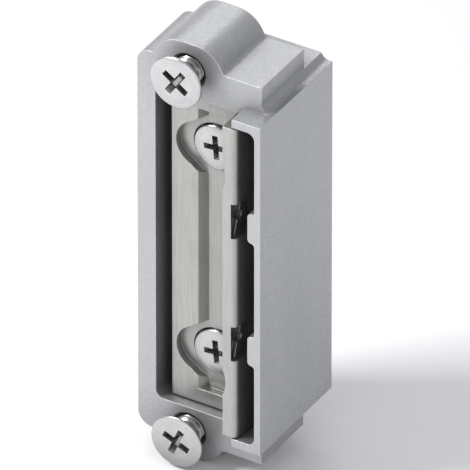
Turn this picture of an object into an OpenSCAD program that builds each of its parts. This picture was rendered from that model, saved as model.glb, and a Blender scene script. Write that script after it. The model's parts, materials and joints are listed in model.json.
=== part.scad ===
// Electric door strike with an adjustable keeper jaw.
// X runs to the right across the front, Y runs into the door frame and Z runs up.
// The origin lies midway between the two fixing screws, on the front face of the housing.

/* [Housing] */
// Distance between the two fixing screws
fixing_pitch = 66; // [64:0.5:70]
// Width of the housing
body_w = 23.9; // [23.5:0.1:26]
// Height of the housing between its end faces
body_h = 60; // [59:0.5:62]
// Depth of the housing behind its front face
body_d = 17.5; // [17.4:0.1:20]
// From the line of the fixing screws to the left side
body_left = 9; // [8.8:0.1:9.4]
// How far the middle of the housing lies below the middle of the fixing screws
body_drop = 0.2; // [0:0.05:0.4]
// Thickness of the left side wall
left_wall = 3.2; // [2.8:0.1:3.4]
// Thickness of the thin right side wall
right_wall = 1; // [0.8:0.1:1.3]
// Thickness of the top and bottom walls
end_wall = 1.4; // [1.2:0.1:1.8]
// Corner radius of the opening through the housing
opening_r = 1.3; // [0.8:0.1:1.6]
// Width of the side block that stands in front of the housing's face
block_w = 5; // [4:0.1:5.4]
// How far the side block stands in front of the housing's face
block_d = 3.8; // [3:0.1:5]

/* [Screw lugs] */
// Depth of the screw lugs
lug_d = 12.4; // [10:0.1:14]
// Radius of the round boss on each lug
lug_r = 5; // [4.6:0.1:5.4]
// Half of the flat stretch on top of each boss
lug_flat = 1.25; // [0.8:0.05:1.6]
// From the fixing screw's axis to the shoulder of the top lug
shoulder_top = 1.3; // [0.8:0.05:1.6]
// From the fixing screw's axis to the shoulder of the bottom lug
shoulder_bottom = 1.75; // [1.2:0.05:2]
// Outer corner radius of the top lug
lug_corner_top = 2.3; // [1.5:0.05:2.4]
// Outer corner radius of the bottom lug
lug_corner_bottom = 2.5; // [1.5:0.05:2.6]
// Distance from the right end of the lugs to the right side
lug_inset = 2; // [1.6:0.1:2.4]
// Radius of the hollow fillet between lug and side block
lug_fillet_r = 1.45; // [1:0.05:1.5]
// Height of the low end pad behind each lug
pad_h = 1; // [0.6:0.1:1.4]

/* [Fixing screws] */
// Thread diameter of the fixing screws
fixing_d = 5; // [4.5:0.1:5]
// Head diameter of the fixing screws
fixing_head_d = 8.9; // [8.4:0.1:9.2]
// Length of the fixing screws over the head
fixing_len = 16; // [12:0.5:16]
// Thickness of the rim of a fixing screw's head
fixing_rim = 0.35; // [0.3:0.05:0.4]
// Diameter of the countersunk mouth of the screw holes
fixing_mouth_d = 6.3; // [6.2:0.1:6.8]
// Turn of the top screw's cross about its axis
fixing_turn_top = 35; // [0:1:90]
// Turn of the bottom screw's cross about its axis
fixing_turn_bottom = 23; // [0:1:90]

/* [Keeper jaw] */
// Gap between the ends of the jaw and the end walls
jaw_end_gap = 0.3; // [0.2:0.05:0.6]
// How far the middle of the jaw lies below the middle of the housing
jaw_drop = 0.1; // [0:0.05:0.1]
// From the left wall of the opening to the left edge of the jaw
jaw_gap = 1.8; // [1.6:0.05:2]
// Depth of the jaw's face behind the housing's front face
jaw_face_y = 1.74; // [1.6:0.02:1.9]
// Thickness of the jaw's plate
jaw_t = 2.86; // [2.7:0.02:2.9]
// From the left edge of the jaw to the pocket in its face
pocket_inset = 4.65; // [4.4:0.05:4.8]
// Depth of the pocket in the jaw's face
pocket_d = 1.26; // [1:0.02:1.3]
// From the ends of the jaw to the ends of the pocket
pocket_end = 2.55; // [2:0.05:3]
// From the left edge of the jaw to the inner face of its lip
lip_inset = 12.27; // [12.2:0.01:12.4]
// Thickness of the lip at its nose
lip_t = 2.43; // [2.3:0.01:2.5]
// Nose radius of the lip
lip_nose_r = 0.95; // [0.6:0.05:1]
// Slant of the lip's outer face
lip_slant = 5; // [3:0.5:5.5]
// Wall that stays between a notch and the lip's inner face
notch_wall = 1.48; // [1.4:0.02:1.5]
// Height of the notches in the lip
notch_h = 6.25; // [6:0.05:6.4]
// Distance between the two notches, and between the two ribs
rib_pitch = 22.5; // [22:0.1:24]

/* [Ribs on the side wall] */
// How far the ribs stand out from the side wall
rib_w = 1.2; // [0.8:0.05:1.2]
// Height of the ribs
rib_h = 5.3; // [4.8:0.05:5.4]
// Radius of the rounded edges of the ribs
rib_r = 0.6; // [0.4:0.05:0.6]

/* [Adjusting screws] */
// From the ends of the jaw to the adjusting screws
adjust_end = 9.5; // [8.8:0.1:10.3]
// Thread diameter of the adjusting screws
adjust_d = 4; // [3.8:0.1:4]
// Head diameter of the adjusting screws
adjust_head_d = 7.8; // [7.4:0.1:7.8]
// How far the heads stand proud of the pocket floor
adjust_proud = 0.5; // [0.3:0.05:0.6]
// From the left edge of the jaw to the adjusting screws
adjust_inset = 7.33; // [7.2:0.01:7.4]
// Travel of the jaw towards the left wall
adjust_travel = 1; // [0.6:0.1:1]
// Radius of the wide end of the slots in the jaw's face
slot_r = 4.13; // [4:0.01:4.2]
// Radius of the scallops in the lip that clear the screw heads
scallop_r = 5.45; // [5.4:0.01:5.5]
// Turn of the adjusting screws' crosses
adjust_turn = -5; // [-45:1:45]

/* [Keeper hinge] */
// Depth of the keeper's hinge axis
pivot_y = 6.2; // [6.1:0.05:6.4]
// Outer radius of the hinge barrels
barrel_r = 2.2; // [2:0.05:2.2]
// Diameter of the hinge pin
pin_d = 2.5; // [2.3:0.05:2.5]
// Thickness of the keeper carrier's plate
carrier_t = 2; // [1.8:0.05:2]
// Height of each hinge barrel
barrel_h = 13.6; // [12:0.1:14]
// Height of the carrier's tail
tail_h = 3; // [2.5:0.1:3]
// Width of the carrier's tail
tail_w = 2; // [1.6:0.1:2]
// From the top of the opening down to the carrier's tail, which also sets the coil's length
tail_drop = 11.2; // [10.9:0.1:11.9]

/* [Lock lever and armature] */
// Thickness of the pawl
pawl_t = 3; // [2.6:0.1:3]
// Width of the pawl's upper arm
pawl_w = 2.4; // [2.2:0.1:2.8]
// From the pawl's pivot to the bottom of the carrier's tail
pawl_reach = 10; // [9.8:0.1:10.2]
// From the pawl's pivot down to the end of its nose
nose_reach = 4; // [3.8:0.1:4]
// Diameter of the pawl's stud
stud_d = 2.5; // [2.3:0.05:2.5]
// Overlap of the armature's finger and the pawl's nose
catch_overlap = 0.45; // [0.35:0.01:0.45]
// Thickness of the armature
armature_t = 1.4; // [1.2:0.05:1.4]
// Angle that the armature closes by
armature_angle = 5.6; // [5.4:0.1:5.7]
// Diameter of the armature's pin
armature_pin_d = 1.2; // [1.1:0.05:1.2]

/* [Magnet] */
// Room between the keeper carrier and the coil's flanges, which also sets the coil's radius
mech_gap = 0.65; // [0.65:0.05:1.45]
// Thickness of the winding
winding_t = 1.3; // [1.1:0.05:1.5]
// Thickness of the yoke
yoke_t = 1.6; // [1.4:0.05:1.6]
// How far the yoke's sides lie inside the coil's flanges
yoke_inset = 1.4; // [1.4:0.05:1.7]

/* [Terminals] */
// Distance between the two terminals
terminal_pitch = 4.4; // [4.2:0.05:4.6]
// Radius of the wire entries
wire_entry_r = 1.5; // [1.3:0.05:1.6]
// Outer diameter of the coil's lead wires
lead_d = 0.8; // [0.6:0.05:0.8]

/* [Back plate] */
// Thickness of the back plate
plate_t = 1.2; // [1:0.05:1.2]
// Thread diameter of the back plate's screws
plate_screw_d = 2; // [1.8:0.1:2]

/* [Hidden] */
$fn = 64;

// Clearances: a press or thread fit, a running fit, a seat and a free gap
snug = 0.02;
running = 0.05;
seat = 0.05;
free = 0.15;
pivot_gap = 0.03;
// Small step between faces that must not fall together
hair = 0.1;
// Overshoot of a cut past the face it starts from
over = 1;

// Outer faces and the opening of the housing
screw_to_end = (fixing_pitch - body_h) / 2;
x_left = -body_left;
x_right = body_w - body_left;
z_top = body_h / 2 - body_drop;
z_bottom = -body_h / 2 - body_drop;
open_x0 = x_left + left_wall;
open_x1 = x_right - right_wall;
open_z0 = z_bottom + end_wall;
open_z1 = z_top - end_wall;
lug_x1 = x_right - lug_inset;
lug_blend_r = 1;
lug_blend_left_r = 0.8;
blend_overlap = 0.003;

// Back plate and the bosses that carry it
plate_recess = 0.1;
plate_y0 = body_d - plate_recess - plate_t;
plate_head_r = 0.875 * plate_screw_d;
boss_w = 4;
boss_len = 5.2;
tap_end = 0.8;
boss_y0 = plate_y0 - boss_len;
block_z1 = open_z1 - boss_w;
block_h = 10.8;
block_z0 = block_z1 - block_h;
ledge_w = 4;
ledge_h = 5;
ledge_gap = 5.1;
ledge_z = block_z0 - ledge_gap - ledge_h / 2;
pad_t = 0.9;
boss_centres = [
    [open_x1 - boss_w / 2, open_z1 - boss_w / 2],
    [open_x1 - boss_w / 2, open_z0 + boss_w / 2],
    [open_x0 + boss_w / 2, open_z1 - boss_w / 2],
    [open_x0 + ledge_w / 2, ledge_z]
];

// Keeper jaw
jaw_mid = -body_drop - jaw_drop;
jaw_h = body_h - 2 * end_wall - 2 * jaw_end_gap;
jaw_z0 = jaw_mid - jaw_h / 2;
jaw_z1 = jaw_mid + jaw_h / 2;
jaw_x0 = open_x0 + jaw_gap;
jaw_y1 = jaw_face_y + jaw_t;
floor_y = jaw_face_y + pocket_d;
pocket_x0 = jaw_x0 + pocket_inset;
lip_x0 = jaw_x0 + lip_inset;
lip_x1 = lip_x0 + lip_t;
lip_back_y = pivot_y - barrel_r - free;
foot_w = 0.93;
foot_x1 = lip_x0 + foot_w;
slot_wide_inset = 4.95;
slot_wide_x = jaw_x0 + slot_wide_inset;
slot_over = 0.13;
adjust_x = jaw_x0 + adjust_inset;
adjust_pitch = jaw_h - 2 * adjust_end;
adjust_z = [for (s = [1, -1]) -body_drop / 2 + s * adjust_pitch / 2];
step_d = 0.75;
head_gap = 0.1;
step_r = adjust_head_d / 2 + head_gap;
notch_z = [for (s = [1, -1]) -body_drop / 2 + s * rib_pitch / 2];
rib_z = [for (s = [1, -1]) -body_drop + s * rib_pitch / 2];
relief_d = 0.7;
relief_w = 2.7;
relief_r = 0.75;
rib_y1 = 2.5;
rib_root_r = 0.6;

// Keeper hinge and carrier
barrel_gap = 0.2;
pivot_x = open_x1 - barrel_r - barrel_gap;
pin_r = pin_d / 2;
pin_end_top = 1.2;
pin_end_bottom = 2;
carrier_y0 = jaw_y1 + seat;
carrier_y1 = carrier_y0 + carrier_t;
carrier_inset = 0.4;
carrier_end = 0.2;
carrier_x0 = jaw_x0 + carrier_inset;
carrier_x1 = pivot_x - barrel_r;
barrel_end = 1.5;
tail_inset = 1.9;
tail_x0 = pivot_x - tail_inset;
tail_z1 = open_z1 - tail_drop;
tail_z0 = tail_z1 - tail_h;

// Keeper spring
spring_gap = 0.3;
spring_r = pin_r + spring_gap;
spring_wire_r = 0.2;
spring_drop = 4.2;
spring_z0 = jaw_mid - spring_drop;
spring_pitch = 1;
spring_turns = 9.25;
spring_leg_z = spring_z0 + spring_pitch * spring_turns;
leg_groove_d = 0.6;
leg_groove_w = 0.8;
leg_reach = 6.2;
wall_leg_x = 0.35;
wall_leg_y = 4.6;
wall_bend_y = 2.2;
leg_shift = 0.12;
leg_turn = 0.7;

// Magnet, set in the room between the carrier and the back plate
flange_gap = 0.1;
flange_lip = 0.2;
flange_r = (plate_y0 - flange_gap - carrier_y1 - mech_gap) / 2;
coil_r = flange_r - flange_lip;
mech_y = plate_y0 - flange_gap - flange_r;
yoke_y0 = mech_y - flange_r + yoke_inset;
yoke_y1 = mech_y + flange_r - yoke_inset;
yoke_x0 = open_x0 + seat;
yoke_gap = 0.1;
yoke_z0 = open_z0 + yoke_gap;
yoke_bend = 0.3;
coil_inset = 8.75;
coil_x = yoke_x0 + coil_inset;
flange_t = 1;
top_flange_t = 1.2;
tube_t = 0.9;
tube_r = coil_r - winding_t;
core_r = tube_r - tube_t;
ear_t = 1.2;
ear_h = 1.9;
ear_drop = 2.6;
ear_w = 1.1;
yoke_screw_r = 1.25;
yoke_head_h = 1.05;
yoke_sink = 1.2;
yoke_screw_inset = 4.1;

// Pawl, beside the carrier's tail
pawl_y0 = mech_y - pawl_t / 2;
pawl_y1 = mech_y + pawl_t / 2;
tail_over = 0.8;
tail_y1 = pawl_y1 + tail_over;
pawl_face_x = tail_x0 - free;
pawl_inset = 1.05;
pawl_x = pawl_face_x - pawl_inset;
pawl_z = tail_z0 - pawl_reach;
pawl_top_over = 0.5;
pawl_top_z = tail_z1 + pawl_top_over;
nose_shift = 2.2;
nose_x1 = pawl_x + nose_shift;
nose_w = 1.7;
nose_z = pawl_z - nose_reach;
hub_t = 1.15;
hub_r = stud_d / 2 + hub_t;
stud_r = stud_d / 2;
shoulder_t = 0.75;
rivet_over = 0.25;
stud_shoulder_r = stud_r + shoulder_t;
clip_t = 0.5;
clip_w = 0.95;
clip_slot = 1.2;
clip_gap = 0.15;
clip_y1 = pawl_y0 - clip_gap;
clip_groove_d = 0.25;
clip_groove_r = stud_r - clip_groove_d;
pawl_spring_drop = 1.2;
pawl_spring_z = tail_z0 + pawl_spring_drop;
pawl_spring_r = 1.3;

// Armature, drawn closed on the pole and then turned open about its pin
pole_gap = 0.1;
finger_t = 1.6;
finger_x0 = nose_x1 + free;
armature_tip_x = finger_x0 + finger_t;
pin_inset = 1.15;
armature_x = yoke_x0 + pin_inset;
nose_clear = 2.7;
armature_lift = (finger_x0 - armature_x) * sin(armature_angle);
armature_z0 = nose_z - nose_clear - armature_lift - armature_t;
armature_z = armature_z0 + armature_t / 2;
armature_barrel_t = 0.45;
armature_barrel_r = armature_pin_d / 2 + armature_barrel_t;
armature_side_gap = 0.1;
armature_y0 = yoke_y0 + ear_t + armature_side_gap;
armature_y1 = yoke_y1 - ear_t - armature_side_gap;
armature_spring_inset = 1.75;
armature_arm_inset = 1.5;
armature_side_inset = 1.7;
armature_spring_x = finger_x0 - armature_spring_inset;
armature_spring_r = 1.2;
armature_wire_r = 0.15;
spring_seat_d = 0.7;
spring_flange = 1.6;
flange_x1 = armature_spring_x + spring_flange;
finger_z1 = nose_z + catch_overlap;

// The coil fills the height between the yoke's foot and the armature
pole_z = armature_z0 - pole_gap;
pole_proud = 0.7;
flange_z1 = pole_z - pole_proud;
coil_z0 = yoke_z0 + yoke_t + flange_t;
coil_z1 = flange_z1 - top_flange_t;
coil_len = coil_z1 - coil_z0;
yoke_screw_z = [coil_z1 - yoke_screw_inset, coil_z0 + yoke_screw_inset];

// Terminal block in the upper left corner
block_gap = 0.1;
block_x0 = open_x0 + block_gap;
block_l = 7.7;
spigot_l = 1;
block_x1 = block_x0 + block_l;
block_y1 = plate_y0 - seat;
entry_inset = 4.1;
entry_x = block_x0 + entry_inset;
terminal_drop = 2.6;
terminal_y = mech_y + block_gap;
terminal_z = [block_z1 - terminal_drop, block_z1 - terminal_drop - terminal_pitch];
clamp_half = 1.7;
clamp_front = 2.4;
clamp_back = 1.8;
clamp_d = 4;
clamp_x0 = entry_x - clamp_front;
clamp_x1 = entry_x + clamp_back;
clamp_y0 = terminal_y - clamp_d / 2;
clamp_y1 = terminal_y + clamp_d / 2;
clamp_wall = 1;
block_y0 = clamp_y0 - clamp_wall;
clamp_lip = 0.25;
clamp_bore_r = wire_entry_r - clamp_lip;
terminal_screw_r = 1;
terminal_head_r = 1.7;
driver_w = 0.5;
driver_d = 0.8;
window_half = 2.3;
window_edge = 0.6;
window_x0 = entry_x - window_half;
window_x1 = entry_x + window_half;

// Lead wires and diode
lead_r = lead_d / 2;
lead_gap = 0.2;
lead_y = plate_y0 - lead_gap - lead_r;
lead_shift = 1.2;
lead_pitch = 1.5;
lead_x = [coil_x - lead_shift, coil_x - lead_shift - lead_pitch];
lead_bow_a = 0.5;
lead_bow_b = 0.3;
diode_r = 1;
diode_shift = 2.2;
diode_half = 1.7;
diode_lead_half = 2.6;
diode_lead_r = 0.3;

// ---- Helpers ----

// Extrudes an outline in X and Z from the depth y0 to the depth y1
module along_y(y0, y1) {
    translate([0, y1, 0]) rotate([90, 0, 0]) linear_extrude(y1 - y0) children();
}

// Extrudes an outline in X and Y from the height z0 to the height z1
module along_z(z0, z1) {
    translate([0, 0, z0]) linear_extrude(z1 - z0) children();
}

// Round rods along each axis
module rod_x(y, z, r, x0, x1) {
    translate([x0, y, z]) rotate([0, 90, 0]) cylinder(h = x1 - x0, r = r);
}
module rod_y(x, z, r, y0, y1) {
    translate([x, y0, z]) rotate([-90, 0, 0]) cylinder(h = y1 - y0, r = r);
}
module rod_z(x, y, r, z0, z1) {
    translate([x, y, z0]) cylinder(h = z1 - z0, r = r);
}

// Cone along Y, from radius r0 at the depth y0 to radius r1 at the depth y1
module cone_y(x, z, r0, r1, y0, y1) {
    translate([x, y0, z]) rotate([-90, 0, 0]) cylinder(h = y1 - y0, r1 = r0, r2 = r1);
}

// Box between two corners
module box(a, b) {
    translate(a) cube(b - a);
}

// Flat rectangle between two corners, with rounded corners
module rounded(x0, z0, x1, z1, r) {
    translate([x0 + r, z0]) square([x1 - x0 - 2 * r, z1 - z0]);
    translate([x0, z0 + r]) square([x1 - x0, z1 - z0 - 2 * r]);
    for (x = [x0 + r, x1 - r], z = [z0 + r, z1 - r]) translate([x, z]) circle(r);
}

// Obround along X with its two end centres at x0 and x1
module obround(x0, x1, z, r) {
    for (x = [x0, x1]) translate([x, z]) circle(r);
    translate([x0, z - r]) square([x1 - x0, 2 * r]);
}

// Cross recess of a screw head with the radius r, at the origin, that opens towards -Y
module cross_recess(r, turn) {
    half = 0.605 * r;
    depth = 0.45 * r;
    width = 0.256 * r;
    rotate([0, turn, 0]) for (a = [0, 90]) rotate([0, a, 0])
        translate([0, 0, -width / 2]) linear_extrude(width) polygon([
            [-half * 1.15, -depth / 2], [half * 1.15, -depth / 2], [half * 0.55, depth],
            [-half * 0.55, depth]
        ]);
}

// Round wire through the given points, with its ends closed
function unit(v) = v / norm(v);
function wire_ring(p, t, ref, r, n) =
    let (u = unit(cross(t, ref)), w = cross(t, u))
    [for (k = [0 : n - 1]) p + r * (cos(360 * k / n) * u + sin(360 * k / n) * w)];
module wire(points, r, n, ref) {
    m = len(points);
    tangents = [for (i = [0 : m - 1]) unit(points[min(i + 1, m - 1)] - points[max(i - 1, 0)])];
    rings = [for (i = [0 : m - 1]) each wire_ring(points[i], tangents[i], ref, r, n)];
    sides = [for (i = [0 : m - 2], k = [0 : n - 1])
        let (a = i * n + k, b = i * n + (k + 1) % n)
        each [[a, b, b + n], [a, b + n, a + n]]];
    polyhedron(rings, concat(
        sides, [[for (k = [n - 1 : -1 : 0]) k]], [[for (k = [0 : n - 1]) (m - 1) * n + k]]
    ));
}

// Points of a helix about Z
function helix(x, y, z0, r, pitch, turns, start, n) = [
    for (i = [0 : turns * n])
        let (a = start + 360 * i / n)
        [x + r * cos(a), y + r * sin(a), z0 + pitch * i / n]
];

// ---- Housing ----

// Hollow fillet between the flat shoulder and the round boss, at its outer side
module boss_fillet(side, shoulder, r) {
    reach = sqrt(pow(lug_r + r - blend_overlap, 2) - pow(shoulder + r, 2));
    cx = side * (lug_flat + reach);
    difference() {
        polygon([[side * lug_flat, 0], [cx, shoulder + r], [cx, 0]]);
        translate([cx, shoulder + r]) circle(r);
    }
}

// Outline of one screw lug, drawn with its screw at the origin and its boss upwards
module lug_outline(shoulder, corner_r) {
    foot = screw_to_end + over;
    obround(-lug_flat, lug_flat, 0, lug_r);
    translate([x_left, -foot]) square([lug_x1 - x_left, foot + shoulder - corner_r]);
    translate([x_left + corner_r, -foot]) square([lug_x1 - x_left - corner_r, foot + shoulder]);
    translate([x_left + corner_r, shoulder - corner_r]) circle(corner_r);
    boss_fillet(1, shoulder, lug_blend_r);
    boss_fillet(-1, shoulder, lug_blend_left_r);
}

// Outline of the hollow fillet between a lug and the side wall, above the height z = 0
module side_fillet() {
    difference() {
        translate([lug_x1 - over, -over]) square(lug_fillet_r + over);
        translate([lug_x1 + lug_fillet_r, lug_fillet_r]) circle(lug_fillet_r);
    }
}

// Outline of one rib on the side wall
module rib_outline(z) {
    x0 = open_x1 - rib_w;
    rounded(x0, z - rib_h / 2, open_x1 + right_wall / 2, z + rib_h / 2, rib_r);
    for (s = [1, -1]) difference() {
        translate([open_x1 - rib_root_r, z + s * (rib_h / 2 + rib_root_r / 2) - rib_root_r / 2])
            square([rib_root_r + right_wall / 2, rib_root_r]);
        translate([open_x1 - rib_root_r, z + s * (rib_h / 2 + rib_root_r)]) circle(rib_root_r);
    }
}

module housing_solid() {
    along_y(0, body_d) translate([x_left, z_bottom]) square([body_w, body_h]);
    along_y(-block_d, over) translate([x_right - block_w, z_bottom]) square([block_w, body_h]);
    along_y(0, lug_d) {
        translate([0, fixing_pitch / 2]) lug_outline(shoulder_top, lug_corner_top);
        translate([0, -fixing_pitch / 2]) mirror([0, 1])
            lug_outline(shoulder_bottom, lug_corner_bottom);
    }
    along_y(0, body_d) {
        translate([0, z_top]) intersection() {
            side_fillet();
            translate([x_left, -over]) square([body_w, over + lug_fillet_r]);
        }
        translate([0, z_bottom]) mirror([0, 1]) side_fillet();
    }
    along_y(lug_d - over, body_d) translate([x_left, z_bottom - pad_h])
        square([lug_x1 - x_left, body_h + 2 * pad_h]);
}

module housing_cuts() {
    along_y(-block_d - over, body_d + over) rounded(open_x0, open_z0, open_x1, open_z1, opening_r);
    // The fillets stop at the height of the end pads behind the lugs
    for (s = [1, -1]) along_y(lug_d, body_d + over) translate([lug_x1 - over, s > 0 ? z_top + pad_h
        : z_bottom - pad_h - over]) square([lug_fillet_r + over, over]);
    for (s = [1, -1]) {
        rod_y(0, s * fixing_pitch / 2, fixing_d / 2, -over, lug_d + over);
        cone_y(0, s * fixing_pitch / 2, fixing_mouth_d / 2 + over, fixing_d / 2, -over,
            (fixing_mouth_d - fixing_d) / 2);
    }
    rod_z(pivot_x, pivot_y, pin_r + snug, z_bottom - 2 * lug_r, z_top + pin_end_top + 2 * hair);
    for (z = yoke_screw_z) {
        rod_x(mech_y, z, yoke_screw_r + running, x_left - over, open_x0 + over);
        translate([x_left - over, mech_y, z]) rotate([0, 90, 0])
            cylinder(h = over + yoke_sink, r1 = yoke_screw_r + yoke_sink + over, r2 = yoke_screw_r);
    }
    for (z = terminal_z) rod_x(terminal_y, z, terminal_head_r + 2 * hair, x_left - over,
        open_x0 + over);
}

module bosses() {
    for (i = [0 : 2]) {
        c = boss_centres[i];
        box([c.x - boss_w / 2, boss_y0, c[1] - boss_w / 2],
            [c.x + boss_w / 2, plate_y0, c[1] + boss_w / 2]);
    }
    box([open_x0, carrier_y1 + seat + pad_t, ledge_z - ledge_h / 2],
        [open_x0 + ledge_w, plate_y0, ledge_z + ledge_h / 2]);
}

module housing() {
    color([0.72, 0.73, 0.75]) difference() {
        union() {
            difference() {
                housing_solid();
                housing_cuts();
            }
            for (z = rib_z) along_y(-block_d, rib_y1) rib_outline(z);
            bosses();
        }
        for (c = boss_centres)
            rod_y(c.x, c[1], plate_screw_d / 2 + snug, boss_y0 + tap_end, plate_y0 + over);
    }
}

// ---- Back plate ----

module back_plate() {
    color([0.66, 0.67, 0.7]) difference() {
        along_y(plate_y0, plate_y0 + plate_t) rounded(open_x0 + seat, open_z0 + seat,
            open_x1 - seat, open_z1 - seat, opening_r);
        along_y(plate_y0 - over, body_d + over) rounded(window_x0,
            terminal_z[1] - clamp_half - window_edge, window_x1,
            terminal_z[0] + clamp_half + window_edge, window_edge);
        for (c = boss_centres) {
            rod_y(c.x, c[1], plate_screw_d / 2 + hair, plate_y0 - over, body_d + over);
            cone_y(c.x, c[1], plate_screw_d / 2 + hair, plate_head_r + hair + over,
                plate_y0 + plate_t - plate_head_r + plate_screw_d / 2, plate_y0 + plate_t + over);
        }
        rod_y(pawl_x, pawl_z, stud_r + rivet_over, plate_y0 - over, body_d + over);
    }
}

module back_plate_screw(c) {
    r = plate_screw_d / 2;
    y1 = plate_y0 + plate_t;
    color([0.78, 0.78, 0.8]) difference() {
        union() {
            rod_y(c.x, c[1], r - snug, boss_y0 + tap_end + 4 * hair, y1 - 2 * hair);
            cone_y(c.x, c[1], r - snug, plate_head_r, y1 - plate_head_r + r, y1);
        }
        translate([c.x, y1, c[1]]) rotate([0, 0, 180]) cross_recess(plate_head_r, 20);
    }
}

// ---- Screws at the front ----

module fixing_screw(z, turn) {
    r = fixing_head_d / 2;
    shank_r = fixing_d / 2 - running;
    cone_d = r - shank_r;
    color([0.8, 0.8, 0.82]) difference() {
        union() {
            rod_y(0, z, r, -block_d, fixing_rim - block_d);
            cone_y(0, z, r, shank_r, fixing_rim - block_d, fixing_rim - block_d + cone_d);
            rod_y(0, z, shank_r, fixing_rim - block_d, fixing_len - block_d);
        }
        translate([0, -block_d, z]) cross_recess(r, turn);
    }
}

module adjusting_screw(z) {
    head_y = floor_y - adjust_proud;
    color([0.8, 0.8, 0.82]) difference() {
        union() {
            rod_y(adjust_x, z, adjust_head_d / 2, head_y, floor_y + step_d - seat);
            rod_y(adjust_x, z, adjust_d / 2 - snug, head_y + 2 * hair, carrier_y1 - seat);
        }
        translate([adjust_x, head_y, z]) cross_recess(adjust_head_d / 2, adjust_turn);
    }
}

// ---- Keeper ----

// Cross-section of the lip: flat front, round nose and slanting outer face
module lip_outline() {
    nose_y = -block_d + lip_nose_r;
    back_x = lip_x1 + (lip_back_y - nose_y) * tan(lip_slant);
    polygon([
        [lip_x0, jaw_face_y - over], [lip_x0, -block_d], [lip_x1 - lip_nose_r, -block_d],
        [lip_x1 - lip_nose_r, nose_y], [lip_x1, nose_y], [back_x, lip_back_y],
        [lip_x0, lip_back_y]
    ]);
    translate([lip_x1 - lip_nose_r, nose_y]) circle(lip_nose_r);
}

module jaw_cuts() {
    along_z(jaw_z0 + pocket_end, jaw_z1 - pocket_end) polygon([
        [pocket_x0 - over, jaw_face_y - over], [pocket_x0 + pocket_d, floor_y],
        [lip_x0, floor_y], [lip_x0, jaw_face_y - over]
    ]);
    for (z = adjust_z) {
        along_y(jaw_face_y - over, floor_y) obround(slot_wide_x, adjust_x, z, slot_r);
        along_y(floor_y - over, floor_y + step_d) obround(adjust_x - slot_over,
            adjust_x + adjust_travel + hair, z, step_r);
        along_y(floor_y, jaw_y1 + over) obround(adjust_x - slot_over,
            adjust_x + adjust_travel + hair, z, adjust_d / 2 + free);
        rod_y(adjust_x, z, scallop_r, -block_d - over, floor_y);
    }
    for (z = notch_z) {
        box([lip_x0 + notch_wall, -block_d - over, z - notch_h / 2],
            [lip_x1 + 2 * over, lip_back_y + over, z + notch_h / 2]);
        notch_relief(z);
    }
}

// Relief sunk into the wall behind a notch, with one round bay
module notch_relief(z) {
    half = notch_h / 2;
    y0 = -block_d + 3 * hair;
    translate([lip_x0 + notch_wall - relief_d, 0, z]) rotate([90, 0, 90])
        linear_extrude(relief_d + over) {
            polygon([
                [y0, -half], [y0 + 0.28 * relief_w, -half], [y0 + 0.6 * relief_w, -half * 0.25],
                [y0 + 0.9 * relief_w, half * 0.35], [y0 + relief_w, half], [y0, half]
            ]);
            translate([y0 + 0.81 * relief_w, -hair]) circle(relief_r);
        }
}

module keeper_jaw() {
    color([0.82, 0.82, 0.84]) difference() {
        union() {
            box([jaw_x0, jaw_face_y, jaw_z0], [foot_x1, jaw_y1, jaw_z1]);
            along_z(jaw_z0, jaw_z1) lip_outline();
        }
        jaw_cuts();
    }
}

module keeper_carrier() {
    z0 = jaw_z0 + carrier_end;
    z1 = jaw_z1 - carrier_end;
    color([0.6, 0.61, 0.63]) difference() {
        union() {
            box([carrier_x0, carrier_y0, z0], [carrier_x1, carrier_y1, z1]);
            for (z = [z0 + barrel_end, z1 - barrel_end - barrel_h]) {
                rod_z(pivot_x, pivot_y, barrel_r, z, z + barrel_h);
                box([carrier_x1 - over, carrier_y0 + 2 * hair, z], [pivot_x, carrier_y1, z + barrel_h]);
            }
            box([tail_x0, carrier_y0 + 2 * hair, tail_z0], [tail_x0 + tail_w, tail_y1, tail_z1]);
        }
        rod_z(pivot_x, pivot_y, pin_r + running, z0 - over, z1 + over);
        for (z = adjust_z) rod_y(adjust_x, z, adjust_d / 2, carrier_y0 - over, carrier_y1 + over);
        box([pivot_x - leg_reach - leg_groove_w / 2, carrier_y0 - over,
            spring_leg_z - leg_groove_w / 2],
            [pivot_x, carrier_y0 + leg_groove_d, spring_leg_z + leg_groove_w / 2]);
    }
}

module pivot_pin() {
    color([0.75, 0.75, 0.77])
        rod_z(pivot_x, pivot_y, pin_r, z_bottom - pin_end_bottom, z_top + pin_end_top);
}

// Torsion spring with one leg against the side wall and one in the carrier's groove
module keeper_spring() {
    leg_y = carrier_y0 + leg_groove_d / 2;
    z0 = spring_z0;
    z1 = spring_leg_z;
    wall_leg = [
        [open_x1 - wall_leg_x, pivot_y + wall_leg_y, z0],
        [open_x1 - wall_leg_x, pivot_y + wall_bend_y, z0],
        [pivot_x + spring_r + leg_shift, pivot_y + leg_turn, z0]
    ];
    carrier_leg = [
        [pivot_x - leg_turn, pivot_y - spring_r + snug, z1], [carrier_x1, leg_y, z1],
        [carrier_x1 - 2 * leg_turn, leg_y, z1], [pivot_x - leg_reach, leg_y, z1]
    ];
    coil = helix(pivot_x, pivot_y, z0, spring_r, spring_pitch, spring_turns, 0, 16);
    turned = [for (p = coil) [p.x, 2 * pivot_y - p.y, p.z]];
    color([0.7, 0.71, 0.73]) wire(concat(wall_leg, turned, carrier_leg), spring_wire_r, 6, [0, 0, 1]);
}

module stop_pad() {
    y0 = carrier_y1 + seat;
    color([0.12, 0.12, 0.13]) box([open_x0 + 2 * hair, y0,
        ledge_z - ledge_h / 2 + 3 * hair], [open_x0 + ledge_w, y0 + pad_t,
        ledge_z + ledge_h / 2 - 3 * hair]);
}

// ---- Lock lever ----

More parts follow.
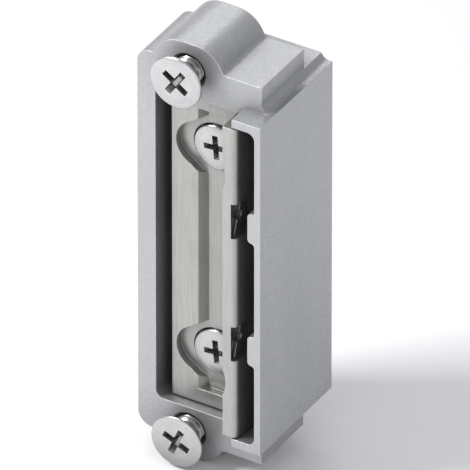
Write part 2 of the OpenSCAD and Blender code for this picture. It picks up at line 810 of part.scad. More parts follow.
module pawl() {
    color([0.55, 0.56, 0.58]) difference() {
        along_y(pawl_y0, pawl_y1) {
            translate([pawl_x, pawl_z]) circle(hub_r);
            translate([pawl_face_x - pawl_w, pawl_z]) square([pawl_w, pawl_top_z - pawl_z]);
            translate([nose_x1 - nose_w, nose_z]) square([nose_w, nose_reach]);
        }
        rod_y(pawl_x, pawl_z, stud_r + pivot_gap, pawl_y0 - over, pawl_y1 + over);
    }
}

module pawl_stud() {
    color([0.75, 0.75, 0.77]) difference() {
        union() {
            rod_y(pawl_x, pawl_z, stud_r, clip_y1 - clip_t - 4 * hair, plate_y0);
            rod_y(pawl_x, pawl_z, stud_shoulder_r, pawl_y1 + clip_gap, plate_y0);
            rod_y(pawl_x, pawl_z, stud_r + rivet_over - snug, plate_y0 - hair, plate_y0 + plate_t);
        }
        difference() {
            rod_y(pawl_x, pawl_z, stud_r + over, clip_y1 - clip_t - running, clip_y1 + running);
            rod_y(pawl_x, pawl_z, clip_groove_r, clip_y1 - over, clip_y1 + over);
        }
    }
}

module pawl_clip() {
    color([0.5, 0.5, 0.52]) along_y(clip_y1 - clip_t, clip_y1) difference() {
        translate([pawl_x, pawl_z]) circle(stud_r + clip_w);
        translate([pawl_x, pawl_z]) circle(clip_groove_r + snug);
        translate([pawl_x, pawl_z - clip_slot / 2]) square([2 * stud_r, clip_slot]);
    }
}

// Compression spring between the terminal block and the pawl's upper arm
module pawl_spring() {
    length = pawl_face_x - pawl_w - block_x1 - 2 * spring_wire_r - 2 * seat;
    color([0.7, 0.71, 0.73])
        translate([block_x1 + spring_wire_r + seat, mech_y, pawl_spring_z]) rotate([0, 90, 0])
            wire(helix(0, 0, 0, pawl_spring_r, length / 5, 5, 0, 16), spring_wire_r, 6, [0, 0, 1]);
}

// ---- Magnet ----

module armature_plate() {
    reach = armature_spring_x - armature_arm_inset;
    translate([armature_x, 0, armature_z]) rotate([0, -armature_angle, 0])
        translate([-armature_x, 0, -armature_z]) {
            box([armature_x, armature_y0 + hair, armature_z0],
                [coil_x, armature_y1 - hair, armature_z0 + armature_t]);
            box([armature_x + armature_side_inset, yoke_y0 - hair, armature_z0],
                [reach, yoke_y1 + hair, armature_z0 + armature_t]);
            box([reach - over, pawl_y0, armature_z0],
                [armature_tip_x + hair, pawl_y1, armature_z0 + armature_t]);
        }
}

module armature() {
    tip_z = armature_z + armature_lift;
    color([0.6, 0.61, 0.63]) difference() {
        union() {
            armature_plate();
            rod_y(armature_x, armature_z, armature_barrel_r, armature_y0, armature_y1);
            box([finger_x0, pawl_y0, tip_z], [armature_tip_x, pawl_y1, finger_z1]);
        }
        rod_y(armature_x, armature_z, armature_pin_d / 2 + pivot_gap, armature_y0 - over,
            armature_y1 + over);
    }
}

module armature_pin() {
    color([0.75, 0.75, 0.77])
        rod_y(armature_x, armature_z, armature_pin_d / 2, yoke_y0 - 2 * hair, yoke_y1 + 2 * hair);
}

// Compression spring that lifts the armature off the pole
module armature_spring() {
    lift = (armature_spring_x - armature_x) * sin(armature_angle);
    z0 = flange_z1 - spring_seat_d + armature_wire_r + seat;
    z1 = armature_z0 + lift - armature_wire_r - 4 * seat;
    color([0.7, 0.71, 0.73]) wire(helix(armature_spring_x, mech_y, z0, armature_spring_r,
        (z1 - z0) / 3, 3, 0, 16), armature_wire_r, 6, [0, 0, 1]);
}

module coil_bobbin() {
    color([0.16, 0.17, 0.19]) difference() {
        union() {
            rod_z(coil_x, mech_y, flange_r, coil_z0 - flange_t, coil_z0);
            rod_z(coil_x, mech_y, tube_r, coil_z0 - flange_t, flange_z1);
            box([coil_x - flange_r, mech_y - flange_r, coil_z1],
                [flange_x1, mech_y + flange_r, flange_z1]);
        }
        rod_z(coil_x, mech_y, core_r + snug, coil_z0 - 2 * flange_t, flange_z1 + over);
        rod_z(armature_spring_x, mech_y, armature_spring_r + armature_wire_r + 2 * hair,
            flange_z1 - spring_seat_d, flange_z1 + over);
    }
}

module coil_winding() {
    color([0.72, 0.38, 0.16]) difference() {
        rod_z(coil_x, mech_y, coil_r, coil_z0, coil_z1);
        rod_z(coil_x, mech_y, tube_r, coil_z0 - over, coil_z1 + over);
    }
}

module coil_core() {
    color([0.62, 0.63, 0.65]) rod_z(coil_x, mech_y, core_r, yoke_z0, pole_z);
}

// Outline of the bent yoke in X and Z, with a round outer bend
module yoke_outline() {
    foot_x1 = coil_x + flange_r;
    bend_r = yoke_t + yoke_bend;
    translate([yoke_x0 + bend_r, yoke_z0]) square([foot_x1 - yoke_x0 - bend_r, yoke_t]);
    translate([yoke_x0, yoke_z0 + bend_r]) square([yoke_t, armature_z - ear_h - yoke_z0 - bend_r]);
    translate([yoke_x0 + bend_r, yoke_z0 + bend_r]) intersection() {
        difference() {
            circle(bend_r);
            circle(bend_r - yoke_t);
        }
        translate([-bend_r, -bend_r]) square(bend_r + snug);
    }
}

module yoke() {
    ear_z1 = armature_z + armature_pin_d;
    color([0.66, 0.67, 0.69]) difference() {
        union() {
            along_y(yoke_y0, yoke_y1) yoke_outline();
            for (y = [yoke_y0, yoke_y1 - ear_t])
                box([yoke_x0, y, armature_z - ear_drop], [armature_x + ear_w, y + ear_t, ear_z1]);
        }
        rod_z(coil_x, mech_y, core_r + snug, yoke_z0 - over, yoke_z0 + yoke_t + over);
        rod_y(armature_x, armature_z, armature_pin_d / 2 + snug, yoke_y0 - over, yoke_y1 + over);
        for (z = yoke_screw_z)
            rod_x(mech_y, z, yoke_screw_r, yoke_x0 - over, yoke_x0 + yoke_t + over);
    }
}

// Countersunk screw through the left wall into the yoke
module yoke_screw(z) {
    r = yoke_screw_r - snug;
    color([0.78, 0.78, 0.8]) difference() {
        union() {
            rod_x(mech_y, z, r, x_left + 3 * hair, yoke_x0 + yoke_t);
            translate([x_left + hair, mech_y, z]) rotate([0, 90, 0])
                cylinder(h = yoke_head_h, r1 = r + yoke_head_h, r2 = r);
        }
        translate([x_left + hair, mech_y, z]) rotate([0, 0, -90])
            cross_recess(r + yoke_head_h, 12);
    }
}

// ---- Terminals ----

module terminal_block() {
    color([0.2, 0.21, 0.23]) difference() {
        union() {
            box([block_x0, block_y0, block_z0], [block_x1, block_y1, block_z1]);
            rod_x(mech_y, pawl_spring_z, pawl_spring_r - spring_wire_r - free, block_x1 - over,
                block_x1 + spigot_l);
        }
        for (z = terminal_z) {
            rod_y(entry_x, z, wire_entry_r, clamp_y1, block_y1 + over);
            rod_x(terminal_y, z, terminal_head_r + hair, block_x0 - over, clamp_x0);
            box([clamp_x0 - seat, clamp_y0 - seat, z - clamp_half - seat],
                [clamp_x1 + seat, clamp_y1 + seat, z + clamp_half + seat]);
        }
    }
}

module terminal_clamp(z) {
    color([0.8, 0.65, 0.3]) difference() {
        box([clamp_x0, clamp_y0, z - clamp_half], [clamp_x1, clamp_y1, z + clamp_half]);
        rod_y(entry_x, z, clamp_bore_r, clamp_y0 - over, clamp_y1 + over);
        rod_x(terminal_y, z, terminal_screw_r, clamp_x0 - over, entry_x);
    }
}

module terminal_screw(z) {
    head_x1 = clamp_x0 - free;
    color([0.78, 0.78, 0.8]) difference() {
        union() {
            rod_x(terminal_y, z, terminal_head_r, block_x0 + 2 * hair, head_x1);
            rod_x(terminal_y, z, terminal_screw_r - snug, head_x1 - hair,
                entry_x - clamp_bore_r - running);
        }
        box([block_x0, terminal_y - terminal_head_r - over, z - driver_w / 2],
            [block_x0 + driver_d, terminal_y + terminal_head_r + over, z + driver_w / 2]);
    }
}

// Wire that bows a little on its way from the coil's flange up to the terminal block
module lead_wire(x, bow) {
    z0 = flange_z1 + seat;
    z1 = block_z0 - seat;
    color([0.15, 0.25, 0.55]) wire([for (i = [0 : 16])
        [x + bow * sin(180 * i / 16), lead_y, z0 + (z1 - z0) * i / 16]], lead_r, 10, [0, 1, 0]);
}

// Diode beside the terminal block, with its two leads bent to the block's side
module suppressor_diode() {
    x = block_x1 + diode_r + hair;
    y = terminal_y + diode_shift;
    mid = (terminal_z[0] + terminal_z[1]) / 2;
    color([0.1, 0.1, 0.11]) {
        rod_z(x, y, diode_r, mid - diode_half, mid + diode_half);
        rod_z(x, y, diode_lead_r, mid - diode_lead_half, mid + diode_lead_half);
        for (z = [mid - diode_lead_half, mid + diode_lead_half]) {
            rod_x(y, z, diode_lead_r, block_x1 + seat, x);
            translate([x, y, z]) sphere(diode_lead_r);
        }
    }
}

housing();
back_plate();
back_plate_screw(boss_centres[0]);  // back_plate_screw_1
back_plate_screw(boss_centres[1]);  // back_plate_screw_2
back_plate_screw(boss_centres[2]);  // back_plate_screw_3
back_plate_screw(boss_centres[3]);  // back_plate_screw_4
fixing_screw(fixing_pitch / 2, fixing_turn_top);  // fixing_screw_top
fixing_screw(-fixing_pitch / 2, fixing_turn_bottom);  // fixing_screw_bottom
keeper_jaw();
adjusting_screw(adjust_z[0]);  // adjusting_screw_top
adjusting_screw(adjust_z[1]);  // adjusting_screw_bottom
keeper_carrier();
pivot_pin();
keeper_spring();
stop_pad();
pawl();
pawl_stud();
pawl_clip();
pawl_spring();
armature();
armature_pin();
armature_spring();
coil_bobbin();
coil_winding();
coil_core();
yoke();
yoke_screw(yoke_screw_z[0]);  // yoke_screw_upper
yoke_screw(yoke_screw_z[1]);  // yoke_screw_lower
terminal_block();
terminal_clamp(terminal_z[0]);  // terminal_clamp_a
terminal_clamp(terminal_z[1]);  // terminal_clamp_b
terminal_screw(terminal_z[0]);  // terminal_screw_a
terminal_screw(terminal_z[1]);  // terminal_screw_b
lead_wire(lead_x[0], lead_bow_a);  // lead_wire_a
lead_wire(lead_x[1], -lead_bow_b);  // lead_wire_b
suppressor_diode();
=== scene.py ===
"""Looks of the electric door strike: materials, dressed pieces, floor, lights and camera."""

import json
import math
from collections import namedtuple

import bmesh
import bpy
from mathutils import Matrix, Vector
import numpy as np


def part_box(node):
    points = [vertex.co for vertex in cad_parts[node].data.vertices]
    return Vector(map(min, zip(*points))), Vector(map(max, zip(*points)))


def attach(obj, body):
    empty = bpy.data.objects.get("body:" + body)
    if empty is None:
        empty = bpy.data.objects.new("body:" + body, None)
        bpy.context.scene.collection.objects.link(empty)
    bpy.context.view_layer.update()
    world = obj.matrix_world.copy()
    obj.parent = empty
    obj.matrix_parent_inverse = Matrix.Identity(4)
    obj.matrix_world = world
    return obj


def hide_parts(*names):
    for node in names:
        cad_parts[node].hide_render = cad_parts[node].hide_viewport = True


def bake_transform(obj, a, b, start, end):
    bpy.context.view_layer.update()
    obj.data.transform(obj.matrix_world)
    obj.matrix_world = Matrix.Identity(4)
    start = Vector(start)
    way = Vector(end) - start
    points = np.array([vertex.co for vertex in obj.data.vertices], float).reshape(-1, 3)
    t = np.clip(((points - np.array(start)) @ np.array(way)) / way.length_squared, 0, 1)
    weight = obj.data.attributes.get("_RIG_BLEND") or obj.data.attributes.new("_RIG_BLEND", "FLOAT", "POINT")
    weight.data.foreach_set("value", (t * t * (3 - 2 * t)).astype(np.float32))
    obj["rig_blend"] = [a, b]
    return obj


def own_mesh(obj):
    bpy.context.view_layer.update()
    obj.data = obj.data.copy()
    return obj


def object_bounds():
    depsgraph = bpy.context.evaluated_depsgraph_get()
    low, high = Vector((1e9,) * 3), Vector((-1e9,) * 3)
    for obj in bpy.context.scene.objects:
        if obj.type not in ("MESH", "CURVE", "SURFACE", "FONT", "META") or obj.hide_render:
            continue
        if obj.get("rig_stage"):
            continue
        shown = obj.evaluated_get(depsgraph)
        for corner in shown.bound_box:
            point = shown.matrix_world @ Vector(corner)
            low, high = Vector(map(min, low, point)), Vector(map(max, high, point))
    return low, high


MM = 0.001
CREASE = 40  # degrees between faces from which an edge stays sharp
WIRE_CREASE = 60

Thread = namedtuple("Thread", "start radius pitch depth")

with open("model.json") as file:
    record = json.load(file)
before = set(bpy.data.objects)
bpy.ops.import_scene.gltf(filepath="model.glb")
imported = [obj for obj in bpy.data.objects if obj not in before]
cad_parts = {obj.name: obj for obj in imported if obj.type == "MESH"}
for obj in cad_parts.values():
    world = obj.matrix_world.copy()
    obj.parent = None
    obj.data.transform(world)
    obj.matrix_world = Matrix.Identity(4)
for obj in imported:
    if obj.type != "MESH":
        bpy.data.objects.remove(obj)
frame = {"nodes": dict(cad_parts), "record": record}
cad_lo, cad_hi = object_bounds()
nodes = frame["nodes"]
slot_of = {s["node"]: s["material_slot"] for s in frame["record"]["subparts"]}
body_of_node = {n: b for b, ns in frame["record"]["behaviour"]["bodies"].items() for n in ns}


def box_mm(node):
    """Lowest and highest corner of a CAD node, in millimetres."""
    lo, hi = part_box(node)
    return lo / MM, hi / MM


# ---- Materials ----


class Shader:
    """A node-based material with short calls for the nodes that the finishes share."""

    def __init__(self, name, color, metallic, roughness, specular=0.5):
        self.mat = bpy.data.materials.new(name)
        self.mat.use_nodes = True
        self.tree = self.mat.node_tree
        self.bsdf = self.tree.nodes["Principled BSDF"]
        self.color = color
        self.bsdf.inputs["Base Color"].default_value = (*color, 1)
        self.bsdf.inputs["Metallic"].default_value = metallic
        self.bsdf.inputs["Roughness"].default_value = roughness
        self.bsdf.inputs["Specular IOR Level"].default_value = specular
        coord = self.add("ShaderNodeTexCoord")
        self.point = coord.outputs["Object"]

    def add(self, kind, **values):
        node = self.tree.nodes.new(kind)
        for key, value in values.items():
            setattr(node, key, value)
        return node

    def link(self, a, b):
        self.tree.links.new(a, b)

    def scaled(self, scale):
        """The surface point in millimetres, stretched by scale."""
        node = self.add("ShaderNodeMapping", vector_type="POINT")
        node.inputs["Scale"].default_value = [s / MM for s in scale]
        self.link(self.point, node.inputs["Vector"])
        return node.outputs["Vector"]

    def noise(self, scale, detail=3.0, rough=0.55):
        """Noise with the given number of cells per millimetre on each axis."""
        node = self.add("ShaderNodeTexNoise")
        node.inputs["Scale"].default_value = 1.0
        node.inputs["Detail"].default_value = detail
        node.inputs["Roughness"].default_value = rough
        self.link(self.scaled(scale), node.inputs["Vector"])
        return node.outputs["Fac"]

    def rings(self, x, z):
        """Uneven rings round the two axes along Y at x and at z above and below the middle."""
        rings_per_mm = 4.5
        split = self.add("ShaderNodeSeparateXYZ")
        self.link(self.scaled((1, 1, 1)), split.inputs["Vector"])
        across = self.math("SUBTRACT", split.outputs["X"], x)
        upward = self.math("SUBTRACT", self.math("ABSOLUTE", split.outputs["Z"]), z)
        node = self.add("ShaderNodeTexNoise", noise_dimensions="1D")
        node.inputs["Scale"].default_value = rings_per_mm
        node.inputs["Detail"].default_value = 3.0
        squares = self.math("ADD", self.math("MULTIPLY", across, across),
                            self.math("MULTIPLY", upward, upward))
        self.link(self.math("SQRT", squares), node.inputs["W"])
        return node.outputs["Fac"]

    def remap(self, value, lo, hi, to_lo, to_hi):
        """Value taken from the range lo to hi to the range to_lo to to_hi, and kept inside it."""
        node = self.add("ShaderNodeMapRange", clamp=True)
        for key, number in (("From Min", lo), ("From Max", hi), ("To Min", to_lo), ("To Max", to_hi)):
            node.inputs[key].default_value = number
        self.link(value, node.inputs["Value"])
        return node.outputs["Result"]

    def math(self, operation, a, b=0):
        """One sum of one or two values, each a number or the output of a node."""
        node = self.add("ShaderNodeMath", operation=operation)
        for i, value in enumerate((a, b)):
            if isinstance(value, (int, float)):
                node.inputs[i].default_value = value
            else:
                self.link(value, node.inputs[i])
        return node.outputs[0]

    def tint(self, value, low, high):
        """Colour between low and high, both given as (r, g, b)."""
        node = self.add("ShaderNodeMix", data_type="RGBA")
        node.inputs["A"].default_value = (*low, 1)
        node.inputs["B"].default_value = (*high, 1)
        self.link(value, node.inputs["Factor"])
        return node.outputs["Result"]

    def over(self, value, below, above):
        """The colour above laid over the colour below by value."""
        node = self.add("ShaderNodeMix", data_type="RGBA")
        self.link(value, node.inputs["Factor"])
        self.link(below, node.inputs["A"])
        node.inputs["B"].default_value = (*above, 1)
        return node.outputs["Result"]

    def edges(self, radius):
        """1 along sharp edges and 0 on open faces."""
        slight, full = 0.02, 0.2
        geometry = self.add("ShaderNodeNewGeometry")
        dot = self.add("ShaderNodeVectorMath", operation="DOT_PRODUCT")
        self.link(self.rounded(radius), dot.inputs[0])
        self.link(geometry.outputs["True Normal"], dot.inputs[1])
        turned = self.math("SUBTRACT", 1.0, dot.outputs["Value"])
        return self.remap(turned, slight, full, 0, 1)

    def rounded(self, radius):
        """The surface direction with every edge rounded to the given radius in millimetres."""
        bevel = self.add("ShaderNodeBevel", samples=6)
        bevel.inputs["Radius"].default_value = radius * MM
        return bevel.outputs["Normal"]

    def shade_mask(self, distance, lo, hi, local):
        """Ambient occlusion mask for painted shade: 1 deep in corners and grooves and 0 on open faces.
        lo and hi are the shares of open sky at which it is 1 and 0, and local leaves the other pieces out."""
        node = self.add("ShaderNodeAmbientOcclusion", samples=8, only_local=local)
        node.inputs["Distance"].default_value = distance * MM
        return self.remap(node.outputs["AO"], lo, hi, 1, 0)

    def soften(self, radius):
        """Round the edges in the shading."""
        self.link(self.rounded(radius), self.bsdf.inputs["Normal"])

    def bump(self, value, height, strength=1.0):
        """Relief of the given height in millimetres."""
        node = self.add("ShaderNodeBump")
        node.inputs["Strength"].default_value = strength
        node.inputs["Distance"].default_value = height * MM
        self.link(value, node.inputs["Height"])
        previous = self.bsdf.inputs["Normal"].links
        if previous:
            self.link(previous[0].from_socket, node.inputs["Normal"])
        self.link(node.outputs["Normal"], self.bsdf.inputs["Normal"])

    def wear_and_painted_light(self, tone, radius, wear_and_highlight, depth, shade_and_dirt, shade_tone, outer=False):
        """Tone with edges painted lighter, as painted highlight and rubbed wear, then painted shade
        darkening corners, grooves and recesses, with some dirt in the narrow ones. On outer pieces
        the pieces round them shade them as well."""
        wear_and_highlight_share, reach, far_painted_shade = 0.8, 12, 0.7
        # Painted highlight: edges painted lighter than the faces, partly as rubbed wear.
        tone = self.over(self.math("MULTIPLY", self.edges(radius), wear_and_highlight_share), tone,
                         lighter(self.color, wear_and_highlight))
        # Painted shade from ambient occlusion: the near mask darkens corners and grooves, partly as dirt;
        # the wide mask darkens whole recesses as shade.
        near_shade_and_dirt = self.math("MULTIPLY", self.shade_mask(depth, 0.35, 0.95, not outer), shade_and_dirt)
        wide = self.math("MULTIPLY", self.shade_mask(reach * depth, 0.2, 1.0, not outer),
                         far_painted_shade * shade_and_dirt)
        return self.over(self.math("MAXIMUM", near_shade_and_dirt, wide), tone, lighter(self.color, shade_tone))

    def set(self, socket, value):
        self.link(value, self.bsdf.inputs[socket])


def lighter(color, factor):
    return tuple(min(1, c * factor) for c in color)


def cast_metal(name, color):
    """Satin die-casting: a fine grain, faint flow marks, edges painted lighter as wear and painted
    highlight, and painted shade in its corners.
    """
    m = Shader(name, color, 0.6, 0.42)
    grain = m.noise((2.6, 2.6, 2.6), detail=4, rough=0.65)
    flow = m.noise((0.10, 0.16, 0.05), detail=5, rough=0.62)
    tone = m.tint(m.remap(flow, 0.3, 0.7, 0, 1), lighter(color, 0.93), lighter(color, 1.05))
    mottle = m.noise((0.9, 0.9, 0.9), detail=4, rough=0.7)
    tone = m.over(m.remap(mottle, 0.4, 0.7, 0, 0.35), tone, lighter(color, 0.8))
    tone = m.over(m.remap(grain, 0.42, 0.72, 0, 0.5), tone, lighter(color, 0.7))
    # Painted highlight on the edges, partly wear, and painted shade in corners, recesses and between pieces.
    m.set("Base Color", m.wear_and_painted_light(tone, 0.25, 1.6, 1.0, 0.85, 0.14, True))
    m.set("Roughness", m.math("ADD", m.remap(flow, 0.3, 0.7, 0.33, 0.42),
                              m.remap(grain, 0.3, 0.75, 0, 0.1)))
    m.soften(0.2)
    m.bump(grain, 0.05, 0.8)
    m.bump(m.noise((0.5, 0.5, 0.5), detail=3), 0.1, 0.6)
    return m.mat


def drawn_metal(name, color, roughness, scratches=0.35, metallic=0.85, outer=False):
    """Plated steel with a fine grain that runs up and down, and thin handling scratches."""
    m = Shader(name, color, metallic, roughness)
    grain = m.noise((5.0, 5.0, 0.14), detail=4, rough=0.7)
    cloud = m.noise((0.22, 0.22, 0.13), detail=4)
    tone = m.tint(m.remap(cloud, 0.3, 0.7, 0, 1), lighter(color, 0.92), lighter(color, 1.05))
    tone = m.over(m.remap(grain, 0.45, 0.75, 0, scratches), tone, lighter(color, 0.66))
    # Painted highlight on the edges, partly wear, and painted shade in corners and grooves.
    m.set("Base Color", m.wear_and_painted_light(tone, 0.2, 1.5, 0.9, 0.85, 0.1, outer))
    m.set("Roughness", m.math("ADD", m.remap(cloud, 0.3, 0.7, roughness - 0.05, roughness + 0.04),
                              m.remap(grain, 0.35, 0.8, -0.03, 0.1)))
    m.soften(0.12)
    m.bump(grain, 0.02, 0.6)
    return m.mat


def turned_metal(name, color, roughness, outer=False, centre=None):
    """Cold-formed metal: a fine speckle, edges painted lighter as soft wear and painted highlight, painted
    shade in corners, and turning marks round centre.
    """
    m = Shader(name, color, 0.9, roughness)
    speckle = m.noise((4, 4, 4), detail=3, rough=0.6)
    cloud = m.noise((0.5, 0.5, 0.5), detail=3)
    tone = m.tint(m.remap(cloud, 0.3, 0.7, 0, 1), lighter(color, 0.92), lighter(color, 1.04))
    tone = m.over(m.remap(speckle, 0.5, 0.8, 0, 0.35), tone, lighter(color, 0.68))
    if centre:
        rings = m.rings(*centre)
        tone = m.over(m.remap(rings, 0.45, 0.75, 0, 0.55), tone, lighter(color, 0.7))
    # Painted highlight on the edges, partly wear, and painted shade in corners and recesses.
    m.set("Base Color", m.wear_and_painted_light(tone, 0.12, 1.3, 0.6, 0.95, 0.05, outer))
    m.set("Roughness", m.math("ADD", m.remap(cloud, 0.3, 0.7, roughness - 0.04, roughness + 0.06),
                              m.remap(speckle, 0.4, 0.8, 0, 0.08)))
    m.bump(speckle, 0.01, 0.4)
    if centre:
        m.bump(rings, 0.02, 0.7)
    return m.mat


def moulded(name, color, roughness, grain=6.0, height=0.01, coat=0.0):
    """Moulded plastic or rubber with a fine matt grain."""
    m = Shader(name, color, 0, roughness)
    fine = m.noise((grain, grain, grain), detail=3, rough=0.6)
    cloud = m.noise((0.3, 0.3, 0.3), detail=3)
    tone = m.tint(m.remap(cloud, 0.3, 0.7, 0, 1), lighter(color, 0.85), lighter(color, 1.2))
    # Painted highlight: edges painted lighter than the faces.
    tone = m.over(m.math("MULTIPLY", m.edges(0.15), 0.3), tone, tuple(c + 0.1 for c in color))
    m.set("Base Color", tone)
    m.set("Roughness", m.remap(fine, 0.3, 0.7, roughness - 0.05, roughness + 0.07))
    m.bsdf.inputs["Coat Weight"].default_value = coat
    m.bump(fine, height, 0.5)
    return m.mat


def enamelled(name, color):
    """Enamelled copper wire, with a soft lacquer."""
    m = Shader(name, color, 0.8, 0.3)
    shade = m.noise((0.6, 0.6, 4), detail=3)
    m.set("Base Color", m.tint(m.remap(shade, 0.3, 0.7, 0, 1), lighter(color, 0.75),
                               lighter(color, 1.15)))
    m.set("Roughness", m.remap(shade, 0.3, 0.7, 0.24, 0.4))
    m.bsdf.inputs["Coat Weight"].default_value = 0.4
    m.bump(shade, 0.01, 0.4)
    return m.mat


def banded_diode(name, color, middle, half, band_lo, band_hi):
    """Black diode body with the usual plain ring round one end, and tinned leads beyond it. The
    body reaches half a length from middle, and the ring lies between band_lo and band_hi."""
    m = Shader(name, color, 0, 0.3)
    split = m.add("ShaderNodeSeparateXYZ")
    m.link(m.scaled((1, 1, 1)), split.inputs["Vector"])
    ring = m.math("MULTIPLY", m.math("GREATER_THAN", split.outputs["Z"], band_lo),
                  m.math("LESS_THAN", split.outputs["Z"], band_hi))
    away = m.math("ABSOLUTE", m.math("SUBTRACT", split.outputs["Z"], middle))
    lead = m.math("GREATER_THAN", away, half)
    fine = m.noise((4, 4, 4))
    tone = m.tint(m.remap(fine, 0.3, 0.7, 0, 1), lighter(color, 0.8), lighter(color, 1.3))
    tone = m.over(ring, tone, (0.55, 0.56, 0.58))
    m.set("Base Color", m.over(lead, tone, (0.5, 0.5, 0.51)))
    m.set("Metallic", lead)
    m.set("Roughness", m.remap(fine, 0.3, 0.7, 0.25, 0.38))
    return m.mat


SCREW_COLOR = (0.56, 0.56, 0.565)
finish = {
    "zinc": cast_metal("cast_zinc", (0.46, 0.465, 0.475)),
    "plated": drawn_metal("plated_sheet", (0.38, 0.385, 0.40), 0.34),
    "screw": turned_metal("plated_screw", SCREW_COLOR, 0.26, outer=True),
    "jaw": drawn_metal("nickel_jaw", (0.44, 0.435, 0.42), 0.32, scratches=0.6, metallic=0.75,
                      outer=True),
    "steel": drawn_metal("machined_steel", (0.31, 0.315, 0.33), 0.33),
    "iron": drawn_metal("plated_iron", (0.29, 0.295, 0.305), 0.38),
    "spring": turned_metal("spring_wire", (0.38, 0.385, 0.4), 0.3),
    "rubber": moulded("black_rubber", (0.03, 0.03, 0.032), 0.7, grain=4, height=0.02),
    "plastic": moulded("black_plastic", (0.035, 0.036, 0.04), 0.48),
    "copper": enamelled("copper_wire", (0.62, 0.27, 0.11)),
    "brass": turned_metal("bright_brass", (0.78, 0.58, 0.24), 0.28),
    "insulation": moulded("wire_insulation", (0.05, 0.11, 0.36), 0.42, grain=3, coat=0.2),
    "diode": banded_diode("diode_body", (0.03, 0.03, 0.035), middle=19.6, half=1.7,
                          band_lo=20.35, band_hi=20.85),
}

# ---- CAD nodes: edges rounded in the mesh, finishes from their slots ----

# The housing and the armature have facets too fine to bevel: their shader rounds their edges.
BEVELS = {"housing": 0, "armature": 0, "keeper_jaw": 0.08, "keeper_carrier": 0.06,
          "back_plate": 0.03, "terminal_block": 0.03, "coil_bobbin": 0.02}
USUAL_BEVEL = 0.05
WELD_GAP = 0.002
FLAT_ANGLE = math.radians(0.3)
BEVEL_ANGLE = math.radians(35)
for name, node in nodes.items():
    node.data.materials.clear()
    node.data.materials.append(finish[slot_of[name]])
    weld = node.modifiers.new("weld", "WELD")
    weld.merge_threshold = WELD_GAP * MM
    width = BEVELS.get(name, USUAL_BEVEL)
    if width:
        flat = node.modifiers.new("flat", "DECIMATE")
        flat.decimate_type = "DISSOLVE"
        flat.angle_limit = FLAT_ANGLE
        bevel = node.modifiers.new("edges", "BEVEL")
        bevel.width = width * MM
        bevel.segments = 2
        bevel.limit_method = "ANGLE"
        bevel.angle_limit = BEVEL_ANGLE
        bevel.use_clamp_overlap = False
        bevel.loop_slide = False
    shade = node.modifiers.new("shade", "WEIGHTED_NORMAL")
    shade.keep_sharp = True
    shade.weight = 100

# ---- Pieces that are finer than their solids ----


def tube_rings(points, radius, sides):
    """Rings of a round wire through the points, turned as little as possible from one to the next."""
    points = [Vector(p) for p in points]
    last = len(points) - 1
    along = [(points[min(i + 1, last)] - points[max(i - 1, 0)]).normalized()
             for i in range(last + 1)]
    side = along[0].orthogonal().normalized()
    rings = []
    for point, t in zip(points, along):
        side = (side - t * side.dot(t)).normalized()
        other = t.cross(side)
        rings.append([point + radius * (math.cos(a) * side + math.sin(a) * other)
                      for a in (math.tau * k / sides for k in range(sides))])
    return rings


def skin(rings):
    """Closed skin over equal rings, with a centre point at each end."""
    count = len(rings[0])
    verts = [v for ring in rings for v in ring]
    faces = []
    for i in range(len(rings) - 1):
        for k in range(count):
            a, b = i * count + k, i * count + (k + 1) % count
            faces.append((a, b, b + count, a + count))
    for ring, order in ((0, -1), (len(rings) - 1, 1)):
        centre = len(verts)
        verts.append(sum((Vector(v) for v in rings[ring]), Vector()) / count)
        for k in range(count):
            a, b = ring * count + k, ring * count + (k + 1) % count
            faces.append((a, b, centre)[::order])
    return verts, faces


def turned_rings(profile, place, sides, thread=(0, 0, 1, 0)):
    """Rings of a turned part. profile lists (distance along the axis, radius); thread is
    (start, end, pitch, depth) of a cut thread."""
    start, end, pitch, depth = thread
    rings = []
    for s, r in profile:
        ring = []
        for k in range(sides):
            a = math.tau * k / sides
            cut = 0
            if start < s < end:
                phase = (s / pitch - k / sides) % 1
                run_out = min(1, (s - start) / pitch, (end - s) / pitch)
                flank = max(0, min(1, 1.25 - 1.5 * abs(2 * phase - 1)))
                cut = depth * run_out * flank
            ring.append(place @ Vector(((r - cut) * math.cos(a), (r - cut) * math.sin(a), s)))
        rings.append(ring)
    return rings


def axis_place(origin, axis):
    """Matrix that puts a part drawn along +Z at origin and along axis."""
    rotation = Vector(axis).to_track_quat("Z", "Y").to_matrix().to_4x4()
    return Matrix.Translation(Vector(origin)) @ rotation


def make(name, parts, materials, crease=CREASE):
    """Mesh object from (vertices, faces) parts, one material for each part."""
    mesh = bpy.data.meshes.new(name)
    verts, faces, index = [], [], []
    for i, (part_verts, part_faces) in enumerate(parts):
        base = len(verts)
        verts += [Vector(v) * MM for v in part_verts]
        faces += [tuple(base + k for k in f) for f in part_faces]
        index += [min(i, len(materials) - 1)] * len(part_faces)
    mesh.from_pydata(verts, [], faces)
    for material in materials:
        mesh.materials.append(material)
    mesh.polygons.foreach_set("material_index", index)
    bm = bmesh.new()
    bm.from_mesh(mesh)
    bmesh.ops.recalc_face_normals(bm, faces=bm.faces)
    bm.to_mesh(mesh)
    bm.free()
    mesh.shade_smooth()
    mesh.set_sharp_from_angle(angle=math.radians(crease))
    thing = bpy.data.objects.new(name, mesh)
    bpy.context.scene.collection.objects.link(thing)
    return thing


def cut_away(thing, verts, faces):
    """Take a closed shape out of a piece for good."""
    tool = make("tool", [(verts, faces)], [thing.data.materials[0]])
    cut = thing.modifiers.new("cut", "BOOLEAN")
    cut.operation = "DIFFERENCE"
    cut.solver = "EXACT"
    cut.object = tool
    done = thing.evaluated_get(bpy.context.evaluated_depsgraph_get())
    mesh = bpy.data.meshes.new_from_object(done)
    thing.modifiers.remove(cut)
    old, thing.data = thing.data, mesh
    bpy.data.meshes.remove(old)
    bpy.data.objects.remove(tool)
    mesh.name = thing.name
    mesh.shade_smooth()
    mesh.set_sharp_from_angle(angle=math.radians(CREASE))


